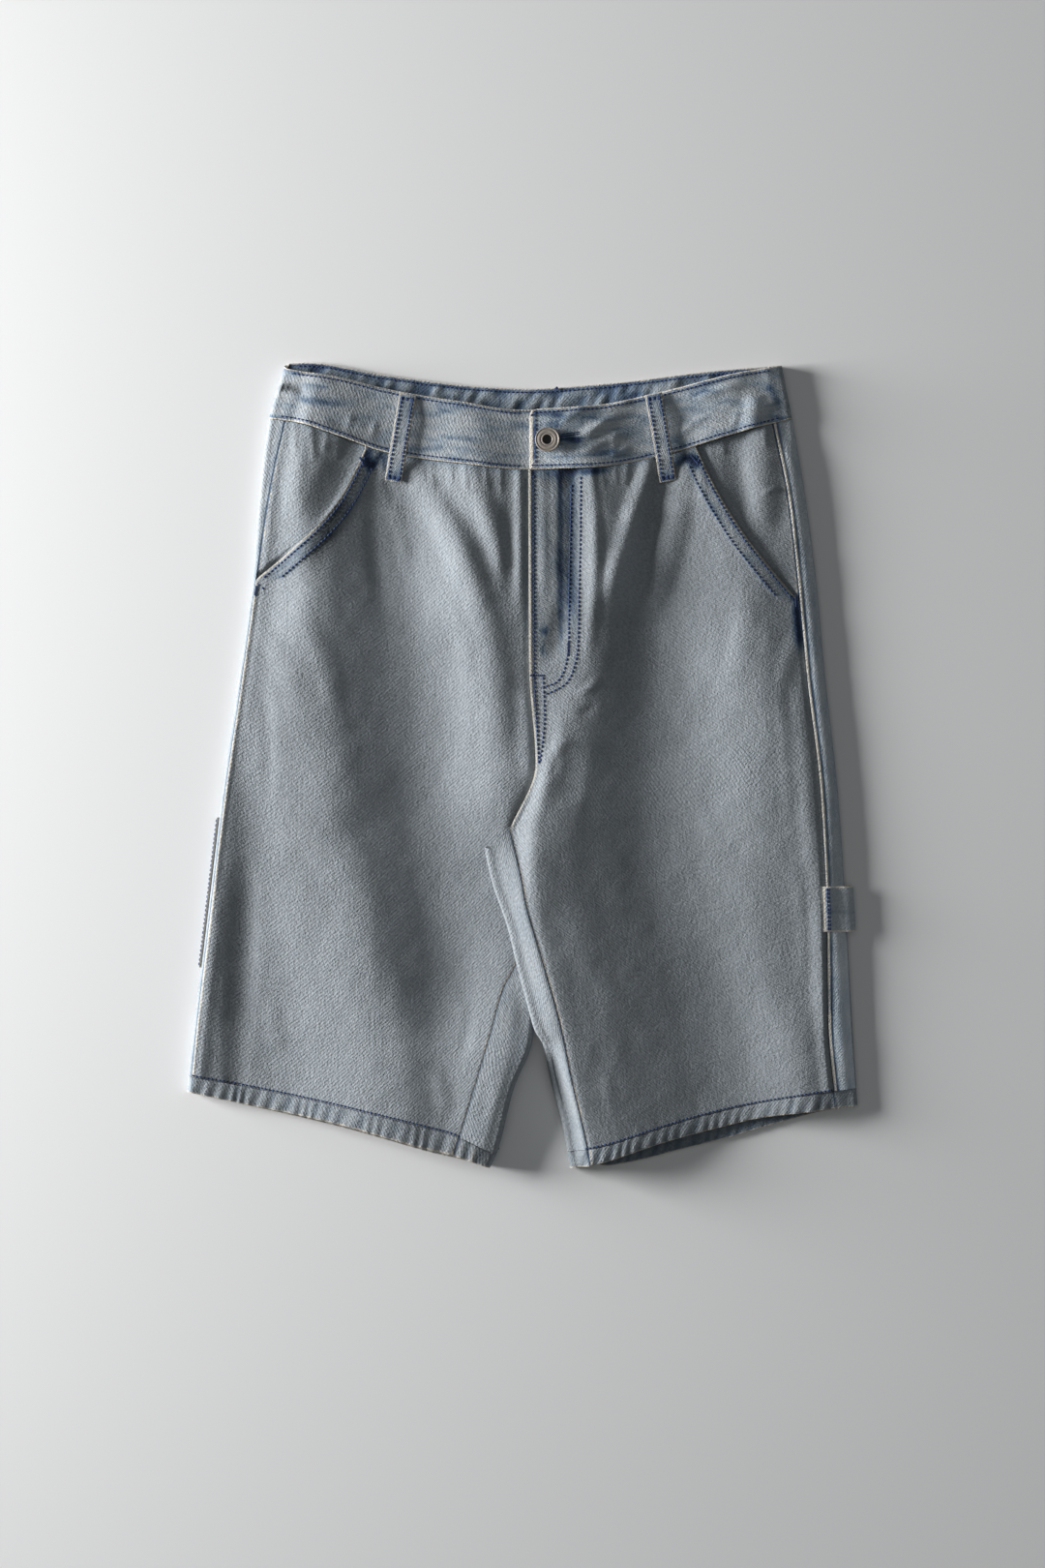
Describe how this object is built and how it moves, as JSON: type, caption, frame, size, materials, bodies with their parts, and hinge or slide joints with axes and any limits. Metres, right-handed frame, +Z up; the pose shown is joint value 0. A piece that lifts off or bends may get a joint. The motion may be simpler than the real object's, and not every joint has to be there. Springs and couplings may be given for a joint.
{
  "type": "denim shorts",
  "caption": "Knee-length denim carpenter shorts lying flat with the front up: buttoned waistband, belt loops, slanted front pockets, puckered hems and a hammer loop at the side.",
  "frame": {"origin": "on the table, under the middle of the garment's overall size", "axes": "+X towards the wearer's left leg, +Y from the hems to the waist, +Z up from the table through the front of the garment"},
  "size_m": [0.4448, 0.534, 0.0215],
  "materials": {
    "denim": "washed cotton twill",
    "button_metal": "dull aged metal"
  },
  "bodies": {
    "root": {"front_right": "denim", "front_left": "denim", "pocket_facing_right": "denim", "pocket_facing_left": "denim", "back_right": "denim", "back_left": "denim", "hem_right": "denim", "hem_left": "denim", "waistband": "denim", "belt_loop_right": "denim", "belt_loop_left": "denim", "hammer_loop": "denim", "tool_pocket": "denim", "button": "button_metal"}
  },
  "joints": []
}
